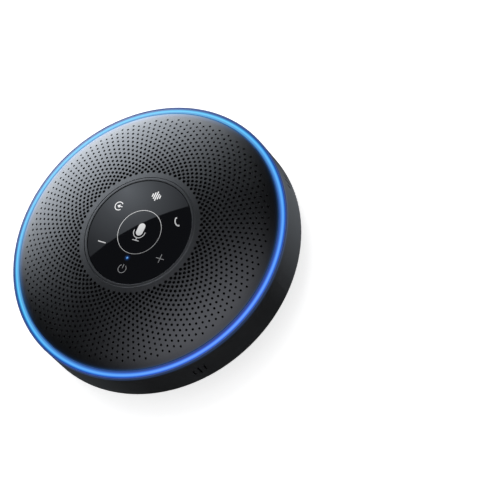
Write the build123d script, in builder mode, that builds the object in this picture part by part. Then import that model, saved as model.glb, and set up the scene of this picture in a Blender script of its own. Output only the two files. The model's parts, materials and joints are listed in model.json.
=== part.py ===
from build123d import *
import os
from math import cos, radians, sin

# Round conference speakerphone. Millimetres, +Z up.
# Origin: centre of the rubber foot's underside. +Y points to the port side.

# ---- driving dimensions ----
BODY_R = 62.5          # outer radius of the side wall
LED_Z = 28.76          # height of the light ring's centreline
LED_R = 60.5           # radius of the light ring's centreline
DOME_RISE = 9.371      # dome height above the light ring, at the axis
DOME_C2 = 0.0016446    # the dome falls with the square of the radius
DOME_C4 = 2.502e-7     # and with its fourth power
EDGE_R = 53.0          # outside this radius the dome falls off faster
EDGE_C2 = 0.008
RING_SLOPE = 0.27      # fall of the light ring's face per mm of radius
SKIN = 1.6             # thickness of the perforated cover

HUB_R = 25.1           # inner edge of the perforated cover
COVER_R = 58.95        # outer edge of the perforated cover
PANEL_R = 23.8         # touch panel
PANEL_Z = 36.76        # top of the touch panel

WALL_LOW_Z = 11.6      # lower edge of the side wall
WALL_T = 2.0
CORNER_R = 0.9         # rounding of the side wall's lower edge
FLOOR_Z = 0.8          # underside of the bottom cover
FLOOR_T = 2.2

CHASSIS_Z = 18.6       # underside of the chassis plate
CHASSIS_T = 1.8
BOARD_Z = 12.5         # underside of the main board
BOARD_T = 1.2
RING_BOARD_Z = 22.6    # underside of the ring light's board
RING_BOARD_T = 0.8
LIGHT_RING_Z = 24.4    # underside of the light ring
LIP_Z = 26.6           # above this the light ring is wider

PILLAR_R = 38.0        # pitch radius of the case screws
PILLAR_ANGLES = [45, 135, 225, 315]
POST_R = 53.0          # pitch radius of the main board's posts
POST_ANGLES = [30, 150, 210, 330]
SPEAKER_SCREW_R = 32.4
MIC_ANGLES = [45, 135, 225, 315]
MIC_Z = 19.3           # centre height of the microphone slots
MIC_PITCH = 2.35       # degrees between the slots of a group
SNAP_ANGLES = [0, 63, 117, 180, 243, 297]

USB_Z = BOARD_Z + BOARD_T + 1.65
AUX_X = 13.0
AUX_Z = BOARD_Z + BOARD_T + 2.5
AUX_BORE_R = 1.85
AUX_BORE_L = 12.4
AUX_FRONT_Y = 60.2

KEY_R = 17.1           # pitch radius of the touch keys
KEY_ANGLES = [90, 30, -30, -90, -150, 150]
STATUS_Y = -12.1       # status light
RING_LEDS = 24

os.makedirs("parts", exist_ok=True)


def dome_z(r):
    """Height of the dome's outer surface at radius r."""
    return LED_Z + DOME_RISE - DOME_C2 * r**2 - DOME_C4 * r**4 - EDGE_C2 * max(0, r - EDGE_R) ** 2


def ring_z(r):
    """Height of the light ring's face, a little flatter than the dome."""
    return LED_Z - RING_SLOPE * (r - LED_R)


def polar(r, angle):
    return (r * cos(radians(angle)), r * sin(radians(angle)))


def cap_point(edge_r, edge_z, top_z, r):
    """Point at radius r on a spherical cap whose top is on the axis."""
    rise = top_z - edge_z
    ball = (edge_r**2 + rise**2) / (2 * rise)
    return (r, top_z - ball + (ball**2 - r**2) ** 0.5)


def wall_plane(r, angle, z):
    """A plane facing outwards at radius r, its x axis along the wall."""
    x, y = polar(r, angle)
    a = radians(angle)
    return Plane(origin=(x, y, z), x_dir=(-sin(a), cos(a), 0), z_dir=(cos(a), sin(a), 0))


def save(builder, label):
    builder.part.label = label
    export_step(builder.part, f"parts/{label}.step")


# ---- rubber foot ----
FOOT_IN = 41.6
FOOT_OUT = 47.6
FOOT_TOP = 1.9
with BuildPart() as rubber_foot:
    with BuildSketch(Plane.XZ):
        with BuildLine():
            Polyline((FOOT_IN + 0.5, 0), (FOOT_OUT - 0.5, 0), (FOOT_OUT, 0.5), (FOOT_OUT, FOOT_TOP),
                     (FOOT_IN, FOOT_TOP), (FOOT_IN, 0.5), close=True)
        make_face()
    revolve(axis=Axis.Z)
save(rubber_foot, "rubber_foot")

# ---- blank base label ----
LABEL_R = 21.0
LABEL_T = 0.25
with BuildPart() as base_label:
    with BuildSketch(Plane.XY.offset(FLOOR_Z)):
        Circle(LABEL_R)
    extrude(amount=LABEL_T)
save(base_label, "base_label")

# ---- bottom cover: floor, curved flank, tongue, pillars and posts ----
HEAD_SEAT_Z = 4.2
with BuildPart() as bottom_cover:
    with BuildSketch(Plane.XZ):
        with BuildLine():
            Polyline((0, FLOOR_Z + FLOOR_T), (0, FLOOR_Z), (49.0, FLOOR_Z))
            ThreePointArc((49.0, FLOOR_Z), (55.9, 4.6), (59.5, WALL_LOW_Z))
            Polyline((59.5, WALL_LOW_Z), (59.1, WALL_LOW_Z), (59.1, 13.4), (57.6, 13.4), (57.4, WALL_LOW_Z))
            ThreePointArc((57.4, WALL_LOW_Z), (54.0, 6.1), (48.2, FLOOR_Z + FLOOR_T))
            Line((48.2, FLOOR_Z + FLOOR_T), (0, FLOOR_Z + FLOOR_T))
        make_face()
    revolve(axis=Axis.Z)
    with BuildSketch(Plane.XY.offset(FLOOR_Z + 1.0)):
        for angle in PILLAR_ANGLES:
            with Locations(polar(PILLAR_R, angle)):
                Circle(3.0)
    extrude(amount=16.6 - FLOOR_Z - 1.0)
    with BuildSketch(Plane.XY.offset(FLOOR_Z + 4.6)):
        for angle in POST_ANGLES:
            with Locations(polar(POST_R, angle)):
                Circle(2.2)
    extrude(amount=BOARD_Z - FLOOR_Z - 4.6)
    with BuildSketch(Plane.XY.offset(FLOOR_Z + 1.8)):
        for angle in POST_ANGLES:
            with Locations(polar(50.4, angle)):
                Rectangle(3.0, 3.0, rotation=angle)
    extrude(amount=8.0)
    # groove for the foot, recess for the label
    with BuildSketch(Plane.XY.offset(FLOOR_Z)):
        Circle(FOOT_OUT)
        Circle(FOOT_IN, mode=Mode.SUBTRACT)
    extrude(amount=FOOT_TOP - FLOOR_Z, mode=Mode.SUBTRACT)
    with BuildSketch(Plane.XY.offset(FLOOR_Z)):
        Circle(LABEL_R + 0.15)
    extrude(amount=LABEL_T, mode=Mode.SUBTRACT)
    # counterbored screw holes, pilot holes for the board screws
    with BuildSketch(Plane.XY):
        for angle in PILLAR_ANGLES:
            with Locations(polar(PILLAR_R, angle)):
                Circle(2.4)
    extrude(amount=HEAD_SEAT_Z, mode=Mode.SUBTRACT)
    with BuildSketch(Plane.XY):
        for angle in PILLAR_ANGLES:
            with Locations(polar(PILLAR_R, angle)):
                Circle(1.35)
    extrude(amount=20, mode=Mode.SUBTRACT)
    with BuildSketch(Plane.XY.offset(BOARD_Z - 4.5)):
        for angle in POST_ANGLES:
            with Locations(polar(POST_R, angle)):
                Circle(0.85)
    extrude(amount=4.5, mode=Mode.SUBTRACT)
save(bottom_cover, "bottom_cover")

# ---- case screws, driven from below ----
with BuildPart() as case_screws:
    for angle in PILLAR_ANGLES:
        with BuildSketch(Plane.XY.offset(HEAD_SEAT_Z - 1.6)):
            with Locations(polar(PILLAR_R, angle)):
                Circle(2.25)
        extrude(amount=1.6)
        with BuildSketch(Plane.XY.offset(HEAD_SEAT_Z)):
            with Locations(polar(PILLAR_R, angle)):
                Circle(1.05)
        extrude(amount=15.6)
        with BuildSketch(Plane.XY.offset(HEAD_SEAT_Z - 1.6)):
            with Locations(polar(PILLAR_R, angle)):
                Rectangle(2.4, 0.55)
                Rectangle(0.55, 2.4)
        extrude(amount=0.9, mode=Mode.SUBTRACT)
save(case_screws, "case_screws")

# ---- side housing: outer wall, chassis ledge, light ring rebate ----
RIM_Z = ring_z(62.0)
WALL_IN = BODY_R - WALL_T
with BuildPart() as side_housing:
    with BuildSketch(Plane.XZ):
        with BuildLine():
            Polyline((61.6, LIGHT_RING_Z), (61.6, LIP_Z), (62.0, LIP_Z), (62.0, RIM_Z), (62.2, RIM_Z))
            ThreePointArc((62.2, RIM_Z), (62.41, RIM_Z - 0.13), (BODY_R, RIM_Z - 0.4))
            Line((BODY_R, RIM_Z - 0.4), (BODY_R, WALL_LOW_Z + CORNER_R))
            RadiusArc((BODY_R, WALL_LOW_Z + CORNER_R), (BODY_R - CORNER_R, WALL_LOW_Z), CORNER_R)
            Polyline((BODY_R - CORNER_R, WALL_LOW_Z), (59.2, WALL_LOW_Z), (59.2, 13.6), (WALL_IN, 13.6),
                     (WALL_IN, 16.9), (58.7, 16.9), (58.7, CHASSIS_Z), (WALL_IN, CHASSIS_Z),
                     (WALL_IN, LIGHT_RING_Z), (61.6, LIGHT_RING_Z))
        make_face()
    revolve(axis=Axis.Z)
    # the ledge stops at the ports and at the microphones
    with BuildSketch(Plane.XY.offset(16.8)):
        with Locations((4.5, 0)):
            Rectangle(38, 140, align=(Align.CENTER, Align.MIN))
        for angle in MIC_ANGLES:
            with Locations(polar(55, angle)):
                Rectangle(16, 17, rotation=angle)
        Circle(WALL_IN, mode=Mode.INTERSECT)
    extrude(amount=CHASSIS_Z - 16.8 + 0.2, mode=Mode.SUBTRACT)
    # microphone slots
    for angle in MIC_ANGLES:
        for step, length in ((-1, 3.6), (0, 5.3), (1, 3.6)):
            with BuildSketch(wall_plane(BODY_R + 1, angle + step * MIC_PITCH, MIC_Z)):
                SlotOverall(length, 0.75, rotation=90)
            extrude(amount=-5, mode=Mode.SUBTRACT)
    # port openings on the +Y side
    with BuildSketch(Plane.XZ.offset(-(BODY_R + 1))):
        with Locations((0, USB_Z)):
            SlotOverall(10.0, 4.0)
    extrude(amount=6, mode=Mode.SUBTRACT)
    with BuildSketch(Plane.XZ.offset(-(BODY_R + 1))):
        with Locations((AUX_X, AUX_Z)):
            Circle(3.2)
    extrude(amount=6, mode=Mode.SUBTRACT)
save(side_housing, "side_housing")

# ---- chassis plate ----
with BuildPart() as chassis:
    with BuildSketch(Plane.XY.offset(CHASSIS_Z)):
        Circle(60.2)
        Circle(28.2, mode=Mode.SUBTRACT)
    extrude(amount=CHASSIS_T)
    with BuildSketch(Plane.XY.offset(CHASSIS_Z + CHASSIS_T)):
        Circle(56.6)
        Circle(54.8, mode=Mode.SUBTRACT)
    extrude(amount=RING_BOARD_Z - CHASSIS_Z - CHASSIS_T)
    with BuildSketch(Plane.XY.offset(16.6)):
        for angle in PILLAR_ANGLES:
            with Locations(polar(PILLAR_R, angle)):
                Circle(3.0)
    extrude(amount=CHASSIS_Z - 16.6)
    # stiffening ribs between the rings
    with BuildSketch(Plane.XY.offset(CHASSIS_Z + CHASSIS_T)):
        for angle in range(0, 360, 30):
            with Locations(polar(45.5, angle + 15)):
                Rectangle(18.8, 1.2, rotation=angle + 15)
    extrude(amount=1.4)
    # notches for the microphones, the snap hooks and the audio socket, slot for the ribbon
    with BuildSketch(Plane.XY.offset(CHASSIS_Z - 0.1)):
        for angle in MIC_ANGLES:
            with Locations(polar(60.2, angle)):
                Rectangle(12.6, 15, rotation=angle)
    extrude(amount=4.3, mode=Mode.SUBTRACT)
    with BuildSketch(Plane.XY.offset(CHASSIS_Z - 0.1)):
        with Locations((AUX_X, 60)):
            Rectangle(7.0, 5.0)
        for angle in SNAP_ANGLES:
            with Locations(polar(60.2, angle)):
                Rectangle(7.0, 9, rotation=angle)
        with Locations((0, -47.5)):
            Rectangle(11, 2.4)
    extrude(amount=2.5, mode=Mode.SUBTRACT)
    # air slots
    with BuildSketch(Plane.XY.offset(CHASSIS_Z - 0.1)):
        for angle in range(0, 360, 30):
            if angle != 270:
                with Locations(polar(46, angle)):
                    SlotOverall(13, 4, rotation=angle)
    extrude(amount=2.2, mode=Mode.SUBTRACT)
    # pilot holes: case screws, speaker screws
    with BuildSketch(Plane.XY.offset(16.6)):
        for angle in PILLAR_ANGLES:
            with Locations(polar(PILLAR_R, angle)):
                Circle(1.05)
    extrude(amount=3.2, mode=Mode.SUBTRACT)
    with BuildSketch(Plane.XY.offset(CHASSIS_Z - 0.1)):
        for angle in PILLAR_ANGLES:
            with Locations(polar(SPEAKER_SCREW_R, angle)):
                Circle(1.0)
    extrude(amount=CHASSIS_T + 0.2, mode=Mode.SUBTRACT)
save(chassis, "chassis")

# ---- main board ----
with BuildPart() as main_board:
    with BuildSketch(Plane.XY.offset(BOARD_Z)):
        Circle(56.0)
        Circle(33.8, mode=Mode.SUBTRACT)
        for angle in PILLAR_ANGLES:
            with Locations(polar(PILLAR_R, angle)):
                Circle(3.3, mode=Mode.SUBTRACT)
        for angle in POST_ANGLES:
            with Locations(polar(POST_R, angle)):
                Circle(1.0, mode=Mode.SUBTRACT)
    extrude(amount=BOARD_T)
save(main_board, "main_board")

TOP_Z = BOARD_Z + BOARD_T
with BuildPart() as board_screws:
    for angle in POST_ANGLES:
        with BuildSketch(Plane.XY.offset(TOP_Z)):
            with Locations(polar(POST_R, angle)):
                Circle(1.7)
        extrude(amount=1.1)
        with BuildSketch(Plane.XY.offset(BOARD_Z - 4.0)):
            with Locations(polar(POST_R, angle)):
                Circle(0.85)
        extrude(amount=4.0 + BOARD_T)
save(board_screws, "board_screws")

with BuildPart() as shield_can:
    with BuildSketch(Plane.XY.offset(TOP_Z)):
        with Locations((-44, 0)):
            RectangleRounded(15, 18, 1)
    extrude(amount=2.2)
    fillet(shield_can.faces().sort_by(Axis.Z)[-1].edges(), radius=0.35)
save(shield_can, "shield_can")

with BuildPart() as amplifier_chip:
    with BuildSketch(Plane.XY.offset(TOP_Z)):
        with Locations((43, 8)):
            Rectangle(7, 7)
    extrude(amount=0.9)
save(amplifier_chip, "amplifier_chip")

with BuildPart() as capacitors:
    for x, y in ((44, -3.5), (44, -10), (38, -14), (-20, 44), (-27, 41)):
        with BuildSketch(Plane.XY.offset(TOP_Z)):
            with Locations((x, y)):
                Circle(2.0)
        extrude(amount=4.0)
save(capacitors, "capacitors")

with BuildPart() as coils:
    for x, y in ((14, -45), (22, -42), (-14, -45)):
        with BuildSketch(Plane.XY.offset(TOP_Z)):
            with Locations((x, y)):
                RectangleRounded(5, 5, 0.8)
        extrude(amount=3.0)
save(coils, "coils")

# ---- USB-C socket ----
with BuildPart() as usb_socket:
    with BuildSketch(Plane.XZ.offset(-52.8)):
        with Locations((0, USB_Z)):
            SlotOverall(8.9, 3.25)
    extrude(amount=-8.4)
    with BuildSketch(Plane.XZ.offset(-61.2)):
        with Locations((0, USB_Z)):
            SlotOverall(8.34, 2.56)
    extrude(amount=6.8, mode=Mode.SUBTRACT)
    with BuildSketch(Plane.XZ.offset(-54.2)):
        with Locations((0, USB_Z)):
            Rectangle(6.6, 0.7)
    extrude(amount=-6.2)
save(usb_socket, "usb_socket")

# ---- 3.5 mm audio socket ----
with BuildPart() as aux_socket:
    with BuildSketch(Plane.XY.offset(TOP_Z)):
        with Locations((AUX_X, 46.4)):
            Rectangle(6.4, 11.4, align=(Align.CENTER, Align.MIN))
    extrude(amount=4.8)
    with BuildSketch(Plane.XZ.offset(-57.8)):
        with Locations((AUX_X, AUX_Z)):
            Circle(2.9)
    extrude(amount=AUX_FRONT_Y - 57.8, dir=(0, 1, 0))
    with BuildSketch(Plane.XZ.offset(-AUX_FRONT_Y)):
        with Locations((AUX_X, AUX_Z)):
            Circle(AUX_BORE_R)
    extrude(amount=AUX_BORE_L, mode=Mode.SUBTRACT)
save(aux_socket, "aux_socket")

# ---- battery cells ----
for side, label in ((1, "battery_right"), (-1, "battery_left")):
    with BuildPart() as battery:
        with BuildSketch(Plane.XY.offset(5.4)):
            with Locations((side * 42.0, 0)):
                RectangleRounded(16, 40, 1.2)
        extrude(amount=6.4)
        fillet(battery.edges().filter_by(Axis.Z, reverse=True), radius=0.8)
    save(battery, label)

with BuildPart() as battery_trays:
    for side in (1, -1):
        with BuildSketch(Plane.XY.offset(FLOOR_Z + FLOOR_T)):
            with Locations((side * 41.0, 0)):
                Rectangle(8, 30)
        extrude(amount=5.4 - FLOOR_Z - FLOOR_T)
save(battery_trays, "battery_trays")

# ---- speaker: rear chamber ----
with BuildPart() as speaker_box:
    with BuildSketch(Plane.XZ):
        with BuildLine():
            Polyline((0, 4.4), (31.0, 4.4), (32.0, 5.4), (32.0, 17.0), (34.6, 17.0), (34.6, CHASSIS_Z),
                     (30.4, CHASSIS_Z), (30.4, 6.0), (0, 6.0), close=True)
        make_face()
    revolve(axis=Axis.Z)
    with BuildSketch(Plane.XY.offset(15.0)):
        for angle in PILLAR_ANGLES:
            with Locations(polar(SPEAKER_SCREW_R, angle)):
                Circle(1.9)
    extrude(amount=2.0)
    with BuildSketch(Plane.XY.offset(15.6)):
        for angle in PILLAR_ANGLES:
            with Locations(polar(SPEAKER_SCREW_R, angle)):
                Circle(0.85)
    extrude(amount=3.1, mode=Mode.SUBTRACT)
save(speaker_box, "speaker_box")

# ---- speaker: gasket, basket, screws ----
FLANGE_Z = CHASSIS_Z + CHASSIS_T + 0.5
FLANGE_TOP = FLANGE_Z + 1.2
with BuildPart() as speaker_gasket:
    with BuildSketch(Plane.XY.offset(CHASSIS_Z + CHASSIS_T)):
        Circle(34.2)
        Circle(28.6, mode=Mode.SUBTRACT)
        for angle in PILLAR_ANGLES:
            with Locations(polar(SPEAKER_SCREW_R, angle)):
                Circle(1.1, mode=Mode.SUBTRACT)
    extrude(amount=0.5)
save(speaker_gasket, "speaker_gasket")

TOP_PLATE_Z = 12.2
BASKET_Z = TOP_PLATE_Z + 1.5
with BuildPart() as speaker_basket:
    with BuildSketch(Plane.XZ):
        with BuildLine():
            Polyline((12.5, BASKET_Z), (19.2, BASKET_Z), (27.8, 19.6), (27.8, FLANGE_Z), (34.2, FLANGE_Z),
                     (34.2, FLANGE_TOP), (27.3, FLANGE_TOP), (26.6, 20.4), (18.6, 15.2), (18.6, 16.0),
                     (16.8, 16.0), (16.8, 14.8), (12.5, 14.8), close=True)
        make_face()
    revolve(axis=Axis.Z)
    with BuildSketch(Plane.XY.offset(14.9)):
        for angle in range(0, 360, 60):
            with Locations(polar(22.4, angle)):
                Rectangle(6.0, 13.0, rotation=angle)
    extrude(amount=5.6, mode=Mode.SUBTRACT)
    with BuildSketch(Plane.XY.offset(FLANGE_Z)):
        for angle in PILLAR_ANGLES:
            with Locations(polar(SPEAKER_SCREW_R, angle)):
                Circle(1.0)
    extrude(amount=1.2, mode=Mode.SUBTRACT)
save(speaker_basket, "speaker_basket")

with BuildPart() as speaker_screws:
    for angle in PILLAR_ANGLES:
        with BuildSketch(Plane.XY.offset(FLANGE_TOP)):
            with Locations(polar(SPEAKER_SCREW_R, angle)):
                Circle(1.6)
        extrude(amount=1.1)
        with BuildSketch(Plane.XY.offset(15.9)):
            with Locations(polar(SPEAKER_SCREW_R, angle)):
                Circle(0.85)
        extrude(amount=FLANGE_TOP - 15.9)
save(speaker_screws, "speaker_screws")

# ---- speaker: magnet system ----
YOKE_Z = 6.5
MAGNET_Z = 8.0
with BuildPart() as magnet_yoke:
    with BuildSketch(Plane.XZ):
        with BuildLine():
            Polyline((0, YOKE_Z), (15.0, YOKE_Z), (15.0, MAGNET_Z), (7.4, MAGNET_Z), (7.4, BASKET_Z),
                     (0, BASKET_Z), close=True)
        make_face()
    revolve(axis=Axis.Z)
save(magnet_yoke, "magnet_yoke")

with BuildPart() as magnet_ring:
    with BuildSketch(Plane.XY.offset(MAGNET_Z)):
        Circle(15.6)
        Circle(9.6, mode=Mode.SUBTRACT)
    extrude(amount=TOP_PLATE_Z - MAGNET_Z)
save(magnet_ring, "magnet_ring")

with BuildPart() as top_plate:
    with BuildSketch(Plane.XY.offset(TOP_PLATE_Z)):
        Circle(15.0)
        Circle(8.4, mode=Mode.SUBTRACT)
    extrude(amount=1.5)
save(top_plate, "top_plate")

with BuildPart() as magnet_pad:
    with BuildSketch(Plane.XY.offset(6.0)):
        Circle(12.0)
    extrude(amount=0.5)
save(magnet_pad, "magnet_pad")

# ---- speaker: moving parts ----
COIL_IN = 7.75
COIL_OUT = 8.05
COIL_TOP = 17.6
with BuildPart() as voice_coil:
    with BuildSketch(Plane.XY.offset(9.4)):
        Circle(COIL_OUT)
        Circle(COIL_IN, mode=Mode.SUBTRACT)
    extrude(amount=COIL_TOP - 9.4)
save(voice_coil, "voice_coil")

CONE_R = 23.2
CONE_TOP = 22.3
with BuildPart() as cone:
    with BuildSketch(Plane.XZ):
        with BuildLine():
            Polyline((COIL_OUT, 16.9), (8.5, 16.9), (22.0, 21.8), (CONE_R, 21.8), (CONE_R, CONE_TOP),
                     (21.9, CONE_TOP), (COIL_OUT, 17.3), close=True)
        make_face()
    revolve(axis=Axis.Z)
save(cone, "cone")

with BuildPart() as dust_cap:
    with BuildSketch(Plane.XZ):
        with BuildLine():
            ThreePointArc((8.0, COIL_TOP), cap_point(8.0, COIL_TOP, 20.0, 4.3), (0, 20.0))
            Line((0, 20.0), (0, 19.6))
            ThreePointArc((0, 19.6), cap_point(7.6, COIL_TOP, 19.6, 4.0), (7.6, COIL_TOP))
            Line((7.6, COIL_TOP), (8.0, COIL_TOP))
        make_face()
    revolve(axis=Axis.Z)
save(dust_cap, "dust_cap")

# ---- speaker: surround and spider ----
ROLL_R = 25.3
with BuildPart() as surround:
    with BuildSketch(Plane.XZ):
        with BuildLine():
            Line((21.6, CONE_TOP + 0.05), (23.3, CONE_TOP + 0.05))
            ThreePointArc((23.3, CONE_TOP + 0.05), (ROLL_R, 24.35), (27.3, FLANGE_TOP))
            Polyline((27.3, FLANGE_TOP), (29.6, FLANGE_TOP), (29.6, FLANGE_TOP + 0.4), (27.6, FLANGE_TOP + 0.4))
            ThreePointArc((27.6, FLANGE_TOP + 0.4), (ROLL_R, 24.75), (23.0, CONE_TOP + 0.45))
            Polyline((23.0, CONE_TOP + 0.45), (21.6, CONE_TOP + 0.45), (21.6, CONE_TOP + 0.05))
        make_face()
    revolve(axis=Axis.Z)
save(surround, "surround")

SPIDER_Z = 16.0
SPIDER_T = 0.3
with BuildPart() as spider:
    with BuildSketch(Plane.XZ):
        with BuildLine():
            Polyline((8.1, SPIDER_Z), (9.4, SPIDER_Z), (10.6, SPIDER_Z + 0.5), (11.8, SPIDER_Z), (13.0, SPIDER_Z + 0.5),
                     (14.2, SPIDER_Z), (15.4, SPIDER_Z + 0.5), (16.6, SPIDER_Z), (18.2, SPIDER_Z),
                     (18.2, SPIDER_Z + SPIDER_T), (16.6, SPIDER_Z + SPIDER_T), (15.4, SPIDER_Z + 0.5 + SPIDER_T),
                     (14.2, SPIDER_Z + SPIDER_T), (13.0, SPIDER_Z + 0.5 + SPIDER_T), (11.8, SPIDER_Z + SPIDER_T),
                     (10.6, SPIDER_Z + 0.5 + SPIDER_T), (9.4, SPIDER_Z + SPIDER_T), (8.1, SPIDER_Z + SPIDER_T),
                     close=True)
        make_face()
    revolve(axis=Axis.Z)
save(spider, "spider")

# ---- microphones ----
with BuildPart() as mic_boards:
    for angle in MIC_ANGLES:
        with BuildSketch(wall_plane(56.6, angle, MIC_Z - 0.6)):
            Rectangle(12, 6.4)
        extrude(amount=0.8)
save(mic_boards, "mic_boards")

with BuildPart() as mic_capsules:
    for angle in MIC_ANGLES:
        with BuildSketch(wall_plane(55.6, angle, MIC_Z - 0.6)):
            Rectangle(3.8, 3.0)
        extrude(amount=1.0)
save(mic_capsules, "mic_capsules")

with BuildPart() as mic_gaskets:
    for angle in MIC_ANGLES:
        with BuildSketch(wall_plane(57.4, angle, MIC_Z)):
            RectangleRounded(8.0, 6.2, 1.5)
        extrude(amount=2.7)
        with BuildSketch(wall_plane(57.4, angle, MIC_Z)):
            RectangleRounded(6.4, 5.0, 1.0)
        extrude(amount=2.7, mode=Mode.SUBTRACT)
save(mic_gaskets, "mic_gaskets")

# ---- ring light ----
with BuildPart() as ring_board:
    with BuildSketch(Plane.XY.offset(RING_BOARD_Z)):
        Circle(60.2)
        Circle(54.8, mode=Mode.SUBTRACT)
        for angle in SNAP_ANGLES:
            with Locations(polar(58.1, angle)):
                Rectangle(2.0, 8.6, rotation=angle, mode=Mode.SUBTRACT)
    extrude(amount=RING_BOARD_T)
save(ring_board, "ring_board")

with BuildPart() as ring_leds:
    for index in range(RING_LEDS):
        angle = (index + 0.5) * 360 / RING_LEDS
        with BuildSketch(Plane.XY.offset(RING_BOARD_Z + RING_BOARD_T)):
            with Locations(polar(59.7, angle)):
                Rectangle(0.9, 2.0, rotation=angle)
        extrude(amount=0.7)
save(ring_leds, "ring_leds")

RING_IN = 59.1
RING_OUT = 61.9
with BuildPart() as light_ring:
    with BuildSketch(Plane.XZ):
        with BuildLine():
            Polyline((RING_IN, LIGHT_RING_Z), (61.5, LIGHT_RING_Z), (61.5, LIP_Z + 0.1), (RING_OUT, LIP_Z + 0.1),
                     (RING_OUT, ring_z(RING_OUT) - 0.12), (RING_OUT - 0.15, ring_z(RING_OUT - 0.15)))
            ThreePointArc((RING_OUT - 0.15, ring_z(RING_OUT - 0.15)), (LED_R, LED_Z + 0.08),
                          (RING_IN + 0.15, ring_z(RING_IN + 0.15)))
            Polyline((RING_IN + 0.15, ring_z(RING_IN + 0.15)), (RING_IN, ring_z(RING_IN) - 0.12),
                     (RING_IN, LIGHT_RING_Z))
        make_face()
    revolve(axis=Axis.Z)
save(light_ring, "light_ring")

# ---- perforated cover: dome, hub pocket, skirt and snap hooks ----
MID_R = 42.0
HUB_OUT = HUB_R + 1.5
SKIRT_IN = COVER_R - 1.7
with BuildPart() as grille_cover:
    with BuildSketch(Plane.XZ):
        with BuildLine():
            ThreePointArc((HUB_R, dome_z(HUB_R)), (MID_R, dome_z(MID_R)), (COVER_R, dome_z(COVER_R)))
            Polyline((COVER_R, dome_z(COVER_R)), (COVER_R, 23.4), (SKIRT_IN, 23.4), (SKIRT_IN, dome_z(SKIRT_IN) - SKIN))
            ThreePointArc((SKIRT_IN, dome_z(SKIRT_IN) - SKIN), (MID_R, dome_z(MID_R) - SKIN),
                          (HUB_OUT, dome_z(HUB_OUT) - SKIN))
            Polyline((HUB_OUT, dome_z(HUB_OUT) - SKIN), (HUB_OUT, 32.2), (22.6, 32.2), (22.6, 33.2),
                     (HUB_R, 33.2), (HUB_R, dome_z(HUB_R)))
        make_face()
    revolve(axis=Axis.Z)
    for angle in SNAP_ANGLES:
        with BuildSketch(wall_plane(SKIRT_IN + 0.2, angle, 18.0)):
            Rectangle(7.6, 6.0, align=(Align.CENTER, Align.MIN))
        extrude(amount=1.3)
        with BuildSketch(wall_plane(SKIRT_IN - 0.9, angle, 17.6)):
            Rectangle(7.6, 0.8, align=(Align.CENTER, Align.MIN))
        extrude(amount=2.4)
save(grille_cover, "grille_cover")

with BuildPart() as acoustic_cloth:
    with BuildSketch(Plane.XZ):
        with BuildLine():
            ThreePointArc((27.0, dome_z(27.0) - SKIN - 0.1), (MID_R, dome_z(MID_R) - SKIN - 0.1),
                          (56.6, dome_z(56.6) - SKIN - 0.1))
            Line((56.6, dome_z(56.6) - SKIN - 0.1), (56.6, dome_z(56.6) - SKIN - 0.4))
            ThreePointArc((56.6, dome_z(56.6) - SKIN - 0.4), (MID_R, dome_z(MID_R) - SKIN - 0.4),
                          (27.0, dome_z(27.0) - SKIN - 0.4))
            Line((27.0, dome_z(27.0) - SKIN - 0.4), (27.0, dome_z(27.0) - SKIN - 0.1))
        make_face()
    revolve(axis=Axis.Z)
save(acoustic_cloth, "acoustic_cloth")

# ---- touch panel stack ----
STACK_R = 24.95
TOUCH_Z = 33.2
with BuildPart() as touch_board:
    with BuildSketch(Plane.XY.offset(TOUCH_Z)):
        Circle(STACK_R)
    extrude(amount=0.8)
save(touch_board, "touch_board")

MASK_Z = TOUCH_Z + 0.8
LENS_Z = 35.65
with BuildPart() as light_mask:
    with BuildSketch(Plane.XY.offset(MASK_Z)):
        Circle(STACK_R)
        Circle(2.9, mode=Mode.SUBTRACT)
        for angle in KEY_ANGLES:
            with Locations(polar(KEY_R, angle)):
                Circle(2.7, mode=Mode.SUBTRACT)
        with Locations((0, STATUS_Y)):
            Circle(0.9, mode=Mode.SUBTRACT)
    extrude(amount=LENS_Z - MASK_Z)
save(light_mask, "light_mask")

with BuildPart() as key_leds:
    with BuildSketch(Plane.XY.offset(MASK_Z)):
        Rectangle(1.6, 0.8)
        for angle in KEY_ANGLES:
            with Locations(polar(KEY_R, angle)):
                Rectangle(1.6, 0.8)
        with Locations((0, STATUS_Y)):
            Rectangle(1.0, 0.6)
    extrude(amount=0.5)
save(key_leds, "key_leds")

with BuildPart() as touch_panel:
    with BuildSketch(Plane.XY.offset(LENS_Z)):
        Circle(PANEL_R)
        with Locations((0, STATUS_Y)):
            Circle(0.65, mode=Mode.SUBTRACT)
    extrude(amount=PANEL_Z - LENS_Z)
    chamfer(touch_panel.faces().sort_by(Axis.Z)[-1].edges().sort_by(SortBy.LENGTH)[-1], 0.25)
save(touch_panel, "touch_panel")

with BuildPart() as status_lens:
    with BuildSketch(Plane.XY.offset(LENS_Z)):
        with Locations((0, STATUS_Y)):
            Circle(0.6)
    extrude(amount=PANEL_Z - LENS_Z)
save(status_lens, "status_lens")

with BuildPart() as panel_bezel:
    with BuildSketch(Plane.XZ):
        with BuildLine():
            Polyline((PANEL_R + 0.1, 36.72), (PANEL_R + 0.1, LENS_Z), (STACK_R, LENS_Z), (STACK_R, 36.82))
            ThreePointArc((STACK_R, 36.82), (PANEL_R + 0.5, 36.94), (PANEL_R + 0.1, 36.72))
        make_face()
    revolve(axis=Axis.Z)
save(panel_bezel, "panel_bezel")

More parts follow.
